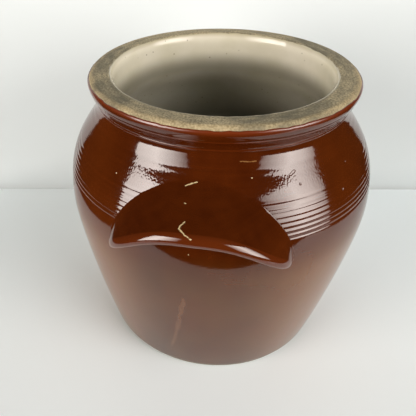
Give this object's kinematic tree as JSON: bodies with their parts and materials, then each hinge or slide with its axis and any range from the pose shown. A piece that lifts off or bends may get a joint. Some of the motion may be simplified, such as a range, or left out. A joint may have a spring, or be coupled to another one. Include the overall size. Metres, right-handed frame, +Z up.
{
  "type": "confit pot",
  "caption": "Round-bellied stoneware jar with a wide mouth, a bare flat rim and lug handles on its shoulder, for keeping cooked meat under fat.",
  "frame": {"origin": "middle of the foot, on the table", "axes": "+Z up the pot's axis to the mouth, the two lugs along -Y (front) and +Y (rear)"},
  "size_m": [0.2416, 0.2834, 0.2275],
  "materials": {
    "stoneware": "bare fired buff clay, fine sandy grain",
    "cream_glaze": "glossy cream glaze",
    "brown_glaze": "glossy red-brown glaze",
    "slip": "fired slip, matt"
  },
  "bodies": {
    "root": {"stoneware_body": "stoneware", "inner_glaze": "cream_glaze", "outer_glaze": "brown_glaze", "front_lug": "stoneware", "front_luting": "slip", "front_lug_glaze": "brown_glaze", "rear_lug": "stoneware", "rear_luting": "slip", "rear_lug_glaze": "brown_glaze"}
  },
  "joints": []
}
